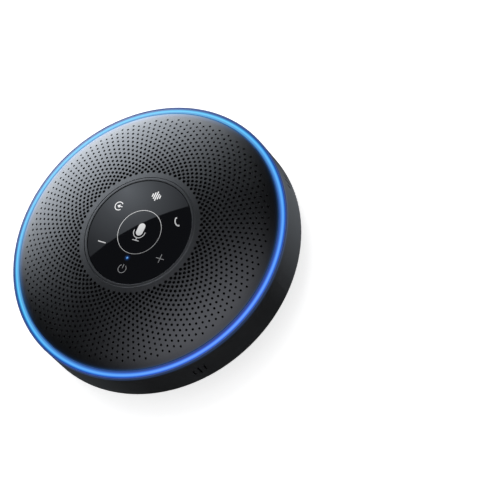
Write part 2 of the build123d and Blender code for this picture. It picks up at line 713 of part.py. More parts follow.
# ---- ribbon from the touch board to the main board ----
with BuildPart() as touch_ribbon:
    with BuildSketch(Plane.YZ.offset(-4)):
        with BuildLine():
            Polyline((-17.0, TOUCH_Z), (-17.0, TOUCH_Z - 0.2), (-20.8, TOUCH_Z - 0.2), (-21.4, 31.0),
                     (-40.0, 27.0), (-47.4, 22.0), (-47.4, TOP_Z), (-50.0, TOP_Z), (-50.0, TOP_Z + 0.2),
                     (-47.6, TOP_Z + 0.2), (-47.6, 22.1), (-40.1, 27.2), (-21.6, 31.2), (-21.0, TOUCH_Z),
                     close=True)
        make_face()
    extrude(amount=8)
save(touch_ribbon, "touch_ribbon")
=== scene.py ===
import json
import math

import bpy
import numpy as np
from mathutils import Matrix, Vector


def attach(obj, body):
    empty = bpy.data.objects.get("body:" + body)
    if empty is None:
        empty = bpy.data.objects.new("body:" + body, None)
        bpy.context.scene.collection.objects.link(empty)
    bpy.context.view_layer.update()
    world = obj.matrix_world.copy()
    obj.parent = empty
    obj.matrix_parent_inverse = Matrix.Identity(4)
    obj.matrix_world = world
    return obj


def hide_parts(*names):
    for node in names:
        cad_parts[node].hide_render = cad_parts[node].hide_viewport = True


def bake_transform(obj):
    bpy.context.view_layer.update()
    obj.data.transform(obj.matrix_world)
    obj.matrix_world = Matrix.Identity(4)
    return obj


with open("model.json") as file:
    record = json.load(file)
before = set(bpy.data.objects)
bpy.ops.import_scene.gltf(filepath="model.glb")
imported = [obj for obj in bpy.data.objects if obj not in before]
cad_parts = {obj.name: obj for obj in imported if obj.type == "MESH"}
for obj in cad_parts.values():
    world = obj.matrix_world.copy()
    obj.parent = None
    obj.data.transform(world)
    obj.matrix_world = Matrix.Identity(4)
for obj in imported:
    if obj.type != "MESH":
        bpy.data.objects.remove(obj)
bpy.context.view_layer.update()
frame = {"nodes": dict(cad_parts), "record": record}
NODES = frame["nodes"]
MM = 0.001

# ---------------------------------------------------------------- sizes (millimetres)
LED_Z = 28.76
DOME_RISE = 9.371
DOME_C2 = 0.0016446
DOME_C4 = 2.502e-7
EDGE_R = 53.0          # outside this radius the dome falls off faster
EDGE_C2 = 0.008
BLUE_SIDE = math.radians(-29)   # where the ring light is most violet
SKIN = 1.6
HUB_R = 25.1
COVER_R = 58.95
PANEL_Z = 36.76

RING_IN = 59.22        # across the light ring: where its glow profile starts and ends
RING_OUT = 62.02
RING_MID = 0.0605      # radius of the ring light's middle, in metres
PITCHES = 66           # holes in each ring
RINGS = 24
RING_OUTER = 55.3      # radius of the outermost ring of holes
RING_STEP = 1.1826
HOLE_OUTER = 0.455     # hole radius in the outermost ring
HOLE_INNER = 0.685     # and in the innermost one
HOLE_SIDES = 16
RIM_WIDTH = 0.03       # each hole's rim is rounded over this width
RIM_DROP = 0.04
BORE_TAPER = 0.96      # bottom of a hole against its top
SUB = 8                # mesh steps per pitch
BORE_ROUGH = 0.65      # extra roughness inside the holes
CORE_LEAN = 0.45       # how far the bright core of the ring light sits outward on the blue side


def dome_z(r):
    return LED_Z + DOME_RISE - DOME_C2 * r**2 - DOME_C4 * r**4 - EDGE_C2 * max(0, r - EDGE_R) ** 2


def dome_slope(r):
    return 2 * DOME_C2 * r + 4 * DOME_C4 * r**3 + 2 * EDGE_C2 * max(0, r - EDGE_R)


# ---------------------------------------------------------------- node helpers
class Nodes:
    """A small writer for one material's node tree."""

    def __init__(self, name):
        self.mat = bpy.data.materials.new(name)
        self.mat.use_nodes = True
        self.tree = self.mat.node_tree
        self.bsdf = self.tree.nodes["Principled BSDF"]
        self.coord = self.tree.nodes.new("ShaderNodeTexCoord")

    def new(self, kind, **values):
        node = self.tree.nodes.new(kind)
        for key, value in values.items():
            setattr(node, key, value)
        return node

    def link(self, a, b):
        self.tree.links.new(a, b)

    def set(self, **values):
        for key, value in values.items():
            self.bsdf.inputs[key.replace("_", " ")].default_value = value

    def math(self, op, a, b=None, clamp=False):
        node = self.new("ShaderNodeMath", operation=op, use_clamp=clamp)
        for i, v in enumerate((a, b)):
            if v is None:
                continue
            if isinstance(v, (int, float)):
                node.inputs[i].default_value = v
            else:
                self.link(v, node.inputs[i])
        return node.outputs[0]

    def noise(self, scale, detail=2.0, rough=0.5, stretch=None):
        node = self.new("ShaderNodeTexNoise")
        node.inputs["Scale"].default_value = scale
        node.inputs["Detail"].default_value = detail
        node.inputs["Roughness"].default_value = rough
        vec = self.coord.outputs["Object"]
        if stretch:
            mp = self.new("ShaderNodeMapping")
            mp.inputs["Scale"].default_value = stretch
            self.link(vec, mp.inputs["Vector"])
            vec = mp.outputs["Vector"]
        self.link(vec, node.inputs["Vector"])
        return node.outputs["Fac"]

    def ramp(self, fac, stops, kind="LINEAR"):
        node = self.new("ShaderNodeValToRGB")
        node.color_ramp.interpolation = kind
        el = node.color_ramp.elements
        while len(el) < len(stops):
            el.new(0.5)
        for e, (pos, col) in zip(el, stops):
            e.position = pos
            if isinstance(col, (int, float)):
                col = (col, col, col)
            e.color = (*col, 1)
        self.link(fac, node.inputs["Fac"])
        return node.outputs["Color"]

    def bump(self, height, distance, strength=1.0):
        node = self.new("ShaderNodeBump")
        node.inputs["Distance"].default_value = distance
        node.inputs["Strength"].default_value = strength
        self.link(height, node.inputs["Height"])
        self.link(node.outputs["Normal"], self.bsdf.inputs["Normal"])

    def radius(self):
        """Distance from the vertical axis, in millimetres."""
        sep = self.new("ShaderNodeSeparateXYZ")
        self.link(self.coord.outputs["Object"], sep.inputs["Vector"])
        xx = self.math("MULTIPLY", sep.outputs["X"], sep.outputs["X"])
        yy = self.math("MULTIPLY", sep.outputs["Y"], sep.outputs["Y"])
        return self.math("MULTIPLY", self.math("SQRT", self.math("ADD", xx, yy)), 1000.0), sep

    def toward(self, sep):
        """Distance along the direction in which the light turns from cyan to violet-blue."""
        along = self.math("MULTIPLY", sep.outputs["X"], math.cos(BLUE_SIDE))
        return self.math("ADD", along, self.math("MULTIPLY", sep.outputs["Y"], math.sin(BLUE_SIDE)))

    def span(self, value, low, high):
        node = self.new("ShaderNodeMapRange")
        node.clamp = True
        node.inputs["From Min"].default_value = low
        node.inputs["From Max"].default_value = high
        self.link(value, node.inputs["Value"])
        return node.outputs["Result"]


def moulded(name, colour, rough=0.42, grain=0.00016, depth=0.00001, spread=0.06):
    """Moulded plastic with a fine eroded texture and slightly uneven gloss."""
    n = Nodes(name)
    n.set(Roughness=rough)
    fine = n.noise(1 / grain, 3.0, 0.6)
    broad = n.noise(60.0, 3.0, 0.5)
    dark = tuple(c * 0.86 for c in colour)
    light = tuple(min(1, c * 1.14) for c in colour)
    n.link(n.ramp(broad, [(0.3, dark), (0.7, light)]), n.bsdf.inputs["Base Color"])
    r = n.math("ADD", n.math("MULTIPLY", n.math("SUBTRACT", broad, 0.5), spread), rough)
    n.link(r, n.bsdf.inputs["Roughness"])
    n.bump(fine, depth)
    return n


# ---------------------------------------------------------------- mesh helpers
def mesh_object(name, verts, faces, material, body="housing", smooth=True):
    mesh = bpy.data.meshes.new(name)
    mesh.from_pydata([tuple(v) for v in verts], [], faces)
    mesh.validate()
    mesh.polygons.foreach_set("use_smooth", [smooth] * len(mesh.polygons))
    obj = bpy.data.objects.new(name, mesh)
    bpy.context.scene.collection.objects.link(obj)
    obj.data.materials.append(material)
    if body:
        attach(obj, body)
    return obj


def rounded(points, radii, steps=4):
    """A closed (r, z) outline with its corners rounded."""
    out = []
    count = len(points)
    for i, (p, rad) in enumerate(zip(points, radii)):
        p = np.array(p, float)
        a = np.array(points[i - 1], float) - p
        b = np.array(points[(i + 1) % count], float) - p
        if not rad:
            out.append(tuple(p))
            continue
        la, lb = np.linalg.norm(a), np.linalg.norm(b)
        a, b = a / la, b / lb
        half = math.acos(max(-1, min(1, float(a @ b)))) / 2
        cut = min(rad / math.tan(half), la * 0.49, lb * 0.49)
        rad = cut * math.tan(half)
        centre = p + (a + b) / np.linalg.norm(a + b) * (rad / math.sin(half))
        start, end = p + a * cut - centre, p + b * cut - centre
        angle = math.acos(max(-1, min(1, float(start @ end) / (rad * rad))))
        for k in range(steps + 1):
            t = k / steps
            v = (math.sin((1 - t) * angle) * start + math.sin(t * angle) * end) / math.sin(angle)
            out.append(tuple(centre + v))
    return out


def lathe(name, outline, material, segments=264, body="housing"):
    """Turns a closed outline of (r, z) points around the vertical axis."""
    verts, faces = [], []
    count = len(outline)
    for k in range(segments):
        a = 2 * math.pi * k / segments
        for r, z in outline:
            verts.append((r * MM * math.cos(a), r * MM * math.sin(a), z * MM))
    for k in range(segments):
        n = (k + 1) % segments
        for i in range(count):
            j = (i + 1) % count
            faces.append((k * count + i, n * count + i, n * count + j, k * count + j))
    obj = mesh_object(name, verts, faces, material, body)
    obj.data.set_sharp_from_angle(angle=math.radians(32))
    return obj


def flexing_ring(name, outline, material, sectors=12, steps=14):
    """A soft ring from the moving cone to the still basket, made of separate sectors, each the outline
    turned through its share of the circle.
    """
    count = len(outline)
    for k in range(sectors):
        verts, faces = [], []
        for i in range(steps + 1):
            a = 2 * math.pi * (k + i / steps) / sectors
            verts.extend((r * MM * math.cos(a), r * MM * math.sin(a), z * MM) for r, z in outline)
        for i in range(steps):
            for j in range(count):
                m = (j + 1) % count
                faces.append((i * count + j, (i + 1) * count + j, (i + 1) * count + m, i * count + m))
        half = count // 2
        for base, flip in ((0, False), (steps * count, True)):
            for j in range(half - 1):
                quad = (base + j, base + j + 1, base + count - 2 - j, base + count - 1 - j)
                faces.append(quad[::-1] if flip else quad)
        obj = mesh_object(f"{name}_{k + 1}", verts, faces, material, body=None)
        obj.data.set_sharp_from_angle(angle=math.radians(40))
        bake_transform(obj)
        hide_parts(name)


def build_speaker_rings(rubber, cloth):
    """The surround's roll and the spider's waves, each a thin skin of even thickness."""
    lip_z, flange_z, roll_rise, skin = 22.35, 22.1, 2.125, 0.4
    low = [(21.6, lip_z)]
    for k in range(13):
        t = k / 12
        low.append((23.3 + 4.0 * t, lip_z + (flange_z - lip_z) * t + roll_rise * math.sin(math.pi * t)))
    low.append((29.6, flange_z))
    high = [(r, z + skin) for r, z in low]
    flexing_ring("surround", low + high[::-1], rubber)

    spider_z, wave, half_pitch, skin = 16.0, 0.5, 1.2, 0.3
    low = [(8.1, spider_z)]
    for k in range(37):
        across = 0.2 * k
        low.append((9.4 + across, spider_z + wave * 0.5 * (1 - math.cos(math.pi * across / half_pitch))))
    low.append((18.2, spider_z))
    high = [(r, z + skin) for r, z in low]
    flexing_ring("spider", low + high[::-1], cloth)


# ---------------------------------------------------------------- perforated cover
def build_grille(material):
    """The domed cover with its holes. Each hole sits in a diamond cell, and the cells tile the dome."""
    turn = PITCHES * SUB
    step = 2 * math.pi / turn
    start = math.pi / 2
    verts, faces, loop_norms = [], [], []
    grid_top, grid_low = {}, {}

    def up(r, a):
        s = dome_slope(r)
        q = math.sqrt(1 + s * s)
        return (s / q * math.cos(a), s / q * math.sin(a), 1 / q)

    def put(x, y, z):
        verts.append((x * MM, y * MM, z * MM))
        return len(verts) - 1

    def cell(ia, ir, low):
        """The shared vertex at angular step ia and radial quarter-step ir."""
        grid = grid_low if low else grid_top
        key = (ia % turn, ir)
        if key not in grid:
            r = RING_OUTER + RING_STEP * ir / 4
            a = start + ia * step
            z = dome_z(r) - (SKIN if low else 0)
            grid[key] = (put(r * math.cos(a), r * math.sin(a), z), up(r, a))
        return grid[key]

    def face(ids, ns):
        """Adds a face, turned so that it faces the way its normals say."""
        a, b, c = (np.array(verts[i]) for i in ids[:3])
        if np.cross(b - a, c - a) @ np.array(ns[0]) < 0:
            ids, ns = ids[::-1], ns[::-1]
        faces.append(tuple(ids))
        loop_norms.extend(ns)

    def neg(v):
        return (-v[0], -v[1], -v[2])

    for i in range(RINGS):
        rc = RING_OUTER - RING_STEP * i
        hole = HOLE_OUTER + (HOLE_INNER - HOLE_OUTER) * i / (RINGS - 1)
        for k in range(PITCHES):
            ia = k * SUB + (SUB // 2 if i % 2 else 0)
            ac = start + ia * step
            ca, sa = math.cos(ac), math.sin(ac)
            edge_t, edge_l = [], []
            for q in range(HOLE_SIDES):
                quarter, f = divmod(q, 4)
                da, dr = ((4 - f, f), (-f, 4 - f), (f - 4, -f), (f, f - 4))[quarter]
                edge_t.append(cell(ia - da, -4 * i + dr, False))
                edge_l.append(cell(ia - da, -4 * i + dr, True))
            rings = []
            for rad, drop in ((hole + RIM_WIDTH, 0.0), (hole, RIM_DROP), (hole * BORE_TAPER, SKIN)):
                ring = []
                for q in range(HOLE_SIDES):
                    b = 2 * math.pi * q / HOLE_SIDES
                    t, s = rad * math.cos(b), rad * math.sin(b)
                    x = (rc + s) * ca + t * sa
                    y = (rc + s) * sa - t * ca
                    rr = math.hypot(x, y)
                    aa = math.atan2(y, x)
                    inward = (-(s * ca + t * sa) / rad, -(s * sa - t * ca) / rad, 0.0)
                    ring.append((put(x, y, dome_z(rr) - drop), up(rr, aa), inward))
                rings.append(ring)
            rim, lip, low = rings
            for q in range(HOLE_SIDES):
                p = (q + 1) % HOLE_SIDES
                face((edge_t[q][0], edge_t[p][0], rim[p][0], rim[q][0])[::-1],
                     (edge_t[q][1], edge_t[p][1], rim[p][1], rim[q][1])[::-1])
                face((rim[q][0], rim[p][0], lip[p][0], lip[q][0])[::-1],
                     (rim[q][1], rim[p][1], lip[p][2], lip[q][2])[::-1])
                face((lip[q][0], lip[p][0], low[p][0], low[q][0])[::-1],
                     (lip[q][2], lip[p][2], low[p][2], low[q][2])[::-1])
                face((low[q][0], low[p][0], edge_l[p][0], edge_l[q][0])[::-1],
                     (neg(low[q][1]), neg(low[p][1]), neg(edge_l[p][1]), neg(edge_l[q][1]))[::-1])

    # the zigzag edges of the perforated field, on both sides of the skin
    inner_ring = -4 * (RINGS - 1)

    def zigzag(low, outer):
        line = []
        for ia in range(turn):
            f = ia % SUB
            if outer:
                ir = abs(4 - f)
            else:
                shifted = (ia - SUB // 2) % SUB if (RINGS - 1) % 2 else f
                ir = inner_ring - abs(4 - shifted)
            line.append(cell(ia, ir, low))
        return line

    def circle(r, z):
        angles = [start + i * step for i in range(turn)]
        return [(put(r * math.cos(a), r * math.sin(a), z), None) for a in angles]

    def band(a, b, na, nb):
        for i in range(turn):
            j = (i + 1) % turn
            aa = [start + i * step, start + j * step]

            def nrm(item, spec, ang):
                if spec is None:
                    return item[1]
                return (spec[0] * math.cos(ang), spec[0] * math.sin(ang), spec[1])
            face((a[i][0], a[j][0], b[j][0], b[i][0]),
                 (nrm(a[i], na, aa[0]), nrm(a[j], na, aa[1]), nrm(b[j], nb, aa[1]), nrm(b[i], nb, aa[0])))

    def unit(r, z):
        q = math.hypot(r, z)
        return (r / q, z / q)

    def dn(r, sign=1):
        s = dome_slope(r)
        u = unit(s, 1)
        return (sign * u[0], sign * u[1])

    # outside: top band, rounded edge, skirt, then back up inside to the underside of the skin
    skirt = COVER_R - 1.7
    edge = 0.12
    out_top = [(57.0, dome_z(57.0), dn(57.0)), (57.9, dome_z(57.9), dn(57.9)),
               (COVER_R - edge, dome_z(COVER_R - edge), dn(COVER_R - edge)),
               (COVER_R - edge * 0.25, dome_z(COVER_R) - edge * 0.22, unit(0.78, 0.62)),
               (COVER_R, dome_z(COVER_R) - edge * 1.1, (1.0, 0.0))]
    previous, pn = zigzag(False, True), None
    for r, z, nn in out_top:
        ring = circle(r, z)
        band(previous, ring, pn, nn)
        previous, pn = ring, nn
    low_out = circle(COVER_R, 23.4)
    band(previous, low_out, (1.0, 0.0), (1.0, 0.0))
    low_in = circle(skirt, 23.4)
    band(low_out, low_in, (0.0, -1.0), (0.0, -1.0))
    up_in = circle(skirt, dome_z(skirt) - SKIN)
    band(low_in, up_in, (-1.0, 0.0), (-1.0, 0.0))
    under = zigzag(True, True)
    under = [(v, neg(n)) for v, n in under]
    band(up_in, under, dn(skirt, -1), None)

    # inside: top band, rounded edge, panel pocket, ledge, hub tube
    in_top = [(26.3, dome_z(26.3), dn(26.3)), (HUB_R + edge, dome_z(HUB_R + edge), dn(HUB_R + edge)),
              (HUB_R + edge * 0.25, dome_z(HUB_R) - edge * 0.2, unit(-0.66, 0.75)),
              (HUB_R, dome_z(HUB_R) - edge, (-1.0, 0.0))]
    previous, pn = zigzag(False, False), None
    for r, z, nn in in_top:
        ring = circle(r, z)
        band(ring, previous, nn, pn)
        previous, pn = ring, nn
    path = [(HUB_R, 33.2, (-1.0, 0.0)), (22.6, 33.2, (0.0, 1.0)), (22.6, 32.2, (-1.0, 0.0)),
            (HUB_R + 1.5, 32.2, (0.0, -1.0)), (HUB_R + 1.5, dome_z(HUB_R + 1.5) - SKIN, (1.0, 0.0))]
    for r, z, nn in path:
        ring = circle(r, z)
        band(ring, previous, nn, nn)
        previous = ring
    under = [(v, neg(n)) for v, n in zigzag(True, False)]
    band(under, previous, None, dn(HUB_R + 1.5, -1))

    mesh = bpy.data.meshes.new("grille_dome")
    mesh.from_pydata(verts, [], faces)
    mesh.polygons.foreach_set("use_smooth", [True] * len(mesh.polygons))
    mesh.normals_split_custom_set(loop_norms)
    obj = bpy.data.objects.new("grille_dome", mesh)
    bpy.context.scene.collection.objects.link(obj)
    obj.data.materials.append(material)
    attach(obj, "housing")
    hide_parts("grille_cover")
    return obj


# ---------------------------------------------------------------- materials
COVER_BLACK = (0.0024, 0.0026, 0.0029)


def grille_material():
    """Cover plastic; the ring's light on its edge is painted in as emission, most of all on the far side.
    """
    n = moulded("grille_plastic", COVER_BLACK, rough=0.31, grain=0.00022, depth=0.000012)
    radius, sep = n.radius()
    # painted light: a blue glow from the light ring, painted on the cover's edge as emission
    near = n.ramp(n.span(radius, 56.0, 59.0), [(0.0, (0, 0, 0)), (0.5, (0.0001, 0.0003, 0.001)),
                                                (0.8, (0.0005, 0.004, 0.013)), (1.0, (0.008, 0.035, 0.10))])
    far = n.ramp(n.span(radius, 56.0, 59.0), [(0.0, (0, 0, 0)), (0.3, (0.001, 0.004, 0.018)),
                                               (0.5, (0.002, 0.020, 0.085)), (0.73, (0.006, 0.070, 0.19)),
                                               (1.0, (0.008, 0.12, 0.29))])
    glow = n.new("ShaderNodeMix", data_type="RGBA")
    n.link(n.span(n.toward(sep), -0.005, -0.045), glow.inputs["Factor"])
    n.link(near, glow.inputs[6])
    n.link(far, glow.inputs[7])
    n.link(glow.outputs[2], n.bsdf.inputs["Emission Color"])
    n.set(Emission_Strength=1.0)
    # the bores of the holes are left rough, and painted shade darkens their colour deep in the holes
    square = n.math("MULTIPLY", radius, radius)
    drop = n.math("ADD", n.math("MULTIPLY", square, DOME_C2),
                  n.math("MULTIPLY", n.math("MULTIPLY", square, square), DOME_C4))
    past = n.math("MAXIMUM", n.math("SUBTRACT", radius, EDGE_R), 0.0)
    drop = n.math("ADD", drop, n.math("MULTIPLY", n.math("MULTIPLY", past, past), EDGE_C2))
    face = n.math("SUBTRACT", LED_Z + DOME_RISE, drop)
    depth = n.math("SUBTRACT", face, n.math("MULTIPLY", sep.outputs["Z"], 1000.0))
    bore = n.span(depth, 0.03, 0.10)
    # painted shade: the colour inside the holes is darkened to near black
    paint = n.new("ShaderNodeMix", data_type="RGBA")
    n.link(bore, paint.inputs["Factor"])
    n.link(n.bsdf.inputs["Base Color"].links[0].from_socket, paint.inputs[6])
    paint.inputs[7].default_value = (0.0004, 0.0004, 0.0005, 1)
    n.link(paint.outputs[2], n.bsdf.inputs["Base Color"])
    rough = n.bsdf.inputs["Roughness"].links[0].from_socket
    rougher = n.math("ADD", rough, n.math("MULTIPLY", bore, BORE_ROUGH), clamp=True)
    n.link(rougher, n.bsdf.inputs["Roughness"])
    return n.mat


def ring_material():
    """Frosted light ring: a bright core between dimmer, more saturated edges."""
    n = Nodes("ring_light")
    radius, sep = n.radius()
    n.set(Roughness=0.3)
    n.bsdf.inputs["Specular IOR Level"].default_value = 0.15
    n.bsdf.inputs["Base Color"].default_value = (0.02, 0.03, 0.05, 1)
    lean = n.math("MULTIPLY", n.toward(sep), CORE_LEAN / RING_MID)
    across = n.span(n.math("SUBTRACT", radius, lean), RING_IN, RING_OUT)
    steps = (0.0, 0.14, 0.28, 0.42, 0.56, 0.70, 0.84, 1.0)
    cyan, cyan_soft, cyan_deep = (0.10, 0.57, 0.94), (0.08, 0.34, 0.65), (0.005, 0.28, 0.62)
    cyan_dim, cyan_last = (0.006, 0.075, 0.28), (0.004, 0.035, 0.15)
    warm = n.ramp(across, list(zip(steps, (cyan_dim, cyan_soft, cyan_soft, cyan, cyan, cyan_deep,
                                           cyan_dim, cyan_last))))
    blue, blue_deep, blue_dim = (0.11, 0.31, 0.98), (0.025, 0.15, 0.80), (0.005, 0.02, 0.34)
    blue_last = (0.005, 0.025, 0.18)
    cool = n.ramp(across, list(zip(steps, (blue_last, blue_dim, blue_deep, blue, blue, blue_deep,
                                           blue_dim, blue_last))))
    mix = n.new("ShaderNodeMix", data_type="RGBA")
    n.link(n.span(n.toward(sep), -0.020, RING_MID), mix.inputs["Factor"])
    n.link(warm, mix.inputs[6])
    n.link(cool, mix.inputs[7])
    n.link(mix.outputs[2], n.bsdf.inputs["Emission Color"])
    n.set(Emission_Strength=1.0)
    n.bump(n.noise(900.0, 2.0), 0.00001)
    return n.mat


def panel_material():
    n = Nodes("panel_gloss")
    n.bsdf.inputs["Base Color"].default_value = (0.006, 0.0065, 0.008, 1)
    broad = n.noise(45.0, 3.0, 0.55)
    n.link(n.math("ADD", n.math("MULTIPLY", broad, 0.012), 0.004), n.bsdf.inputs["Roughness"])
    # painted light: a blue halo around the status light, painted on the panel as emission
    off = n.new("ShaderNodeVectorMath", operation="SUBTRACT")
    off.inputs[1].default_value = (0, -0.0121, PANEL_Z * MM)
    n.link(n.coord.outputs["Object"], off.inputs[0])
    length = n.new("ShaderNodeVectorMath", operation="LENGTH")
    n.link(off.outputs["Vector"], length.inputs[0])
    halo = n.ramp(n.span(length.outputs["Value"], 0.0005, 0.0016),
                  [(0.0, (0.003, 0.035, 0.12)), (0.4, (0.001, 0.010, 0.04)), (1.0, (0, 0, 0))])
    n.link(halo, n.bsdf.inputs["Emission Color"])
    n.set(Emission_Strength=1.0)
    return n.mat


def painted_glow_ink_material():
    """Printed symbols with painted light: they glow as emission, painted brighter towards the upper left.
    """
    n = Nodes("symbol_ink_painted_glow")
    n.bsdf.inputs["Base Color"].default_value = (0.02, 0.02, 0.02, 1)
    n.set(Roughness=0.5)
    radius, sep = n.radius()
    # painted light: the symbols' glow is brighter towards the upper left
    g = n.math("ADD", n.math("MULTIPLY", sep.outputs["X"], -0.6), n.math("MULTIPLY", sep.outputs["Y"], 0.8))
    col = n.ramp(n.span(g, -0.018, 0.018), [(0.0, 0.10), (0.14, 0.16), (0.44, 0.42), (0.52, 0.55),
                                            (0.62, 0.68), (1.0, 0.95)])
    n.link(col, n.bsdf.inputs["Emission Color"])
    n.set(Emission_Strength=1.0)
    return n.mat


# ---------------------------------------------------------------- symbols
INK_LOW = PANEL_Z + 0.004
INK_TOP = PANEL_Z + 0.03
KEY_R = 17.1           # the six outer symbols sit on this circle


def plate(name, loops, material):
    """A thin printed shape. Each loop is one closed outline of (x, y) points in millimetres."""
    verts, faces = [], []
    for loop in loops:
        n = len(loop)
        base = len(verts)
        for z in (INK_LOW, INK_TOP):
            verts.extend((x * MM, y * MM, z * MM) for x, y in loop)
        half = n // 2
        for i in range(half - 1):
            faces.append((base + n + i, base + n + i + 1, base + 2 * n - 2 - i, base + 2 * n - 1 - i))
            faces.append((base + n - 1 - i, base + n - 2 - i, base + i + 1, base + i))
        for i in range(n):
            j = (i + 1) % n
            faces.append((base + i, base + j, base + n + j, base + n + i))
    obj = mesh_object(name, verts, faces, material, smooth=False)
    return obj


def stroke(points, width, closed=False):
    """The outline of a line of that width through the points: one side, then back along the other."""
    pts = np.array(points, float)
    if closed:
        nxt, prv = np.roll(pts, -1, 0), np.roll(pts, 1, 0)
    else:
        nxt = np.vstack([pts[1:], 2 * pts[-1] - pts[-2]])
        prv = np.vstack([2 * pts[0] - pts[1], pts[:-1]])
    d = nxt - prv
    d /= np.linalg.norm(d, axis=1)[:, None]
    side = np.stack([-d[:, 1], d[:, 0]], 1)
    w = np.broadcast_to(np.asarray(width, float) / 2, (len(pts),))[:, None]
    left, right = pts + side * w, pts - side * w
    if closed:
        left, right = np.vstack([left, left[:1]]), np.vstack([right, right[:1]])
    return [tuple(p) for p in left] + [tuple(p) for p in right[::-1]]


def arc(cx, cy, r, a0, a1, steps=24):
    return [(cx + r * math.cos(math.radians(a0 + (a1 - a0) * t / steps)),
             cy + r * math.sin(math.radians(a0 + (a1 - a0) * t / steps))) for t in range(steps + 1)]


def build_symbols(material):
    def key(angle):
        return (KEY_R * math.cos(math.radians(angle)), KEY_R * math.sin(math.radians(angle)))

    plate("symbol_circle", [stroke(arc(0, 0, 9.95, 0, 360, 120)[:-1], 0.19, closed=True)], material)

    capsule = arc(0, 2.5, 1.6, 0, 180, 20) + arc(0, 0.05, 1.6, 180, 360, 20)
    n = len(capsule) // 2
    order = capsule[n // 2:] + capsule[:n // 2]
    cup = [(-2.72, 0.5)] + arc(0, 0.1, 2.72, 180, 360, 28) + [(2.72, 0.5)]
    plate("symbol_mic", [order, stroke(cup, 0.32), stroke([(0, -2.6), (0, -3.75)], 0.36),
                         stroke([(-1.6, -3.85), (1.6, -3.85)], 0.32)], material)

    x, y = key(90)
    bars = []
    for i, h in enumerate((1.5, 3.0, 4.3, 2.6, 1.5)):
        bx = x + (i - 2) * 0.92
        bars.append(stroke([(bx, y - h / 2), (bx, y + h / 2)], 0.5))
    plate("symbol_level", bars, material)

    x, y = key(30)
    hand = arc(x + 1.48, y + 1.55, 2.95, 184, 266, 22)
    ends = [stroke([(x - 1.66, y + 1.42), (x - 0.96, y + 1.86)], 0.56),
            stroke([(x + 1.16, y - 0.90), (x + 1.68, y - 1.48)], 0.56)]
    plate("symbol_call", [stroke(hand, 0.5)] + ends, material)

    x, y = key(-30)
    plate("symbol_plus", [stroke([(x - 1.95, y), (x + 1.95, y)], 0.30),
                          stroke([(x, y - 1.95), (x, y - 0.15)], 0.30),
                          stroke([(x, y + 0.15), (x, y + 1.95)], 0.30)], material)
    x, y = key(-150)
    plate("symbol_minus", [stroke([(x - 1.95, y), (x + 1.95, y)], 0.40)], material)

    x, y = key(-90)
    plate("symbol_power", [stroke(arc(x, y - 0.15, 1.84, 122, 418, 40), 0.26),
                           stroke([(x, y + 0.05), (x, y + 1.9)], 0.26)], material)

    x, y = key(150)
    head = [(x - 0.80, y + 0.02), (x + 0.45, y + 0.82), (x + 0.45, y - 0.82), (x - 0.80, y - 0.02)]
    plate("symbol_link", [stroke(arc(x, y, 1.85, 42, 318, 36), 0.36),
                          stroke([(x + 0.2, y), (x + 1.75, y)], 0.36), head], material)


# ---------------------------------------------------------------- inner and standard materials
def metal(name, colour, rough, stretch=(1, 1, 1), scale=900.0):
    n = Nodes(name)
    n.set(Metallic=1.0)
    grain = n.noise(scale, 3.0, 0.6, stretch)
    shade = tuple(c * 0.85 for c in colour)
    n.link(n.ramp(grain, [(0.3, shade), (0.7, colour)]), n.bsdf.inputs["Base Color"])
    n.link(n.math("ADD", n.math("MULTIPLY", grain, 0.18), rough - 0.09), n.bsdf.inputs["Roughness"])
    n.bump(grain, 0.000004)
    return n.mat


def woven(name, colour, pitch=0.0004):
    n = Nodes(name)
    n.set(Roughness=0.9)
    weave = n.new("ShaderNodeTexBrick")
    weave.inputs["Scale"].default_value = 1 / pitch
    n.link(n.coord.outputs["Object"], weave.inputs["Vector"])
    weave.inputs["Color1"].default_value = (*colour, 1)
    weave.inputs["Color2"].default_value = (*[c * 0.7 for c in colour], 1)
    weave.inputs["Mortar"].default_value = (*[c * 0.3 for c in colour], 1)
    n.link(weave.outputs["Color"], n.bsdf.inputs["Base Color"])
    n.bump(weave.outputs["Fac"], 0.00003)
    return n.mat


def lit(name, colour, strength):
    n = Nodes(name)
    n.bsdf.inputs["Base Color"].default_value = (*colour, 1)
    n.set(Roughness=0.3)
    tone = n.noise(700.0, 2.0)
    shade = tuple(c * 0.9 for c in colour)
    n.link(n.ramp(tone, [(0.2, shade), (0.8, colour)]), n.bsdf.inputs["Emission Color"])
    n.set(Emission_Strength=strength)
    return n.mat


def lens_material():
    """Status light: only the middle of the little lens glows."""
    n = Nodes("status_light")
    n.set(Roughness=0.3)
    n.bsdf.inputs["Base Color"].default_value = (0.01, 0.02, 0.04, 1)
    off = n.new("ShaderNodeVectorMath", operation="SUBTRACT")
    off.inputs[1].default_value = (0, -0.0121, PANEL_Z * MM)
    n.link(n.coord.outputs["Object"], off.inputs[0])
    length = n.new("ShaderNodeVectorMath", operation="LENGTH")
    n.link(off.outputs["Vector"], length.inputs[0])
    core = n.ramp(n.span(length.outputs["Value"], 0.0001, 0.0005),
                  [(0.0, (0.14, 0.50, 1.0)), (0.6, (0.03, 0.20, 0.62)), (1.0, (0.005, 0.05, 0.2))])
    n.link(core, n.bsdf.inputs["Emission Color"])
    n.set(Emission_Strength=0.95)
    return n.mat


